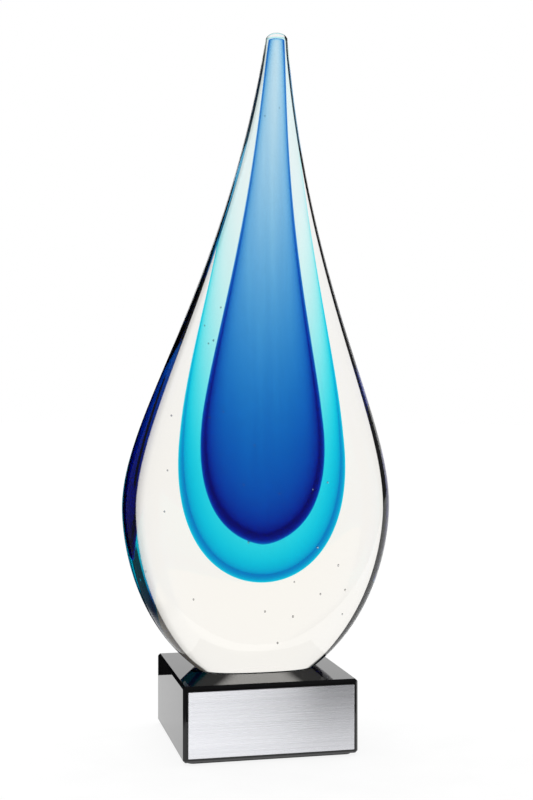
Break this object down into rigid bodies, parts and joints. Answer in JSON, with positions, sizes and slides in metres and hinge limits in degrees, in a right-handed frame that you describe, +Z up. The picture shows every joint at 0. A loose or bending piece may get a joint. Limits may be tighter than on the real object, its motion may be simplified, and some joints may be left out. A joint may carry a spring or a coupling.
{
  "type": "art glass award",
  "caption": "Clear glass teardrop cased over aqua and cobalt layers, bonded to a polished black glass block with a blank brushed plate, for display as an award.",
  "frame": {"origin": "middle of the underside, on the surface that the award stands on", "axes": "+Z up along the drop's height, front with the plate towards -Y, +X to the right seen from the front"},
  "size_m": [0.1209, 0.0759, 0.3146],
  "materials": {
    "black_glass": "polished",
    "felt": "matte felt",
    "brushed_aluminium": "brushed lengthways",
    "adhesive_film": "matte",
    "clear_adhesive": "clear",
    "clear_glass": "polished, with seed bubbles",
    "aqua_glass": "clear colour",
    "cobalt_glass": "clear colour"
  },
  "bodies": {
    "root": {"base_block": "black_glass", "base_pad": "felt", "name_plate": "brushed_aluminium", "plate_adhesive": "adhesive_film", "glass_bond": "clear_adhesive", "clear_casing": "clear_glass", "aqua_layer": "aqua_glass", "clear_interlayer": "clear_glass", "cobalt_layer": "cobalt_glass", "clear_core": "clear_glass"}
  },
  "joints": []
}
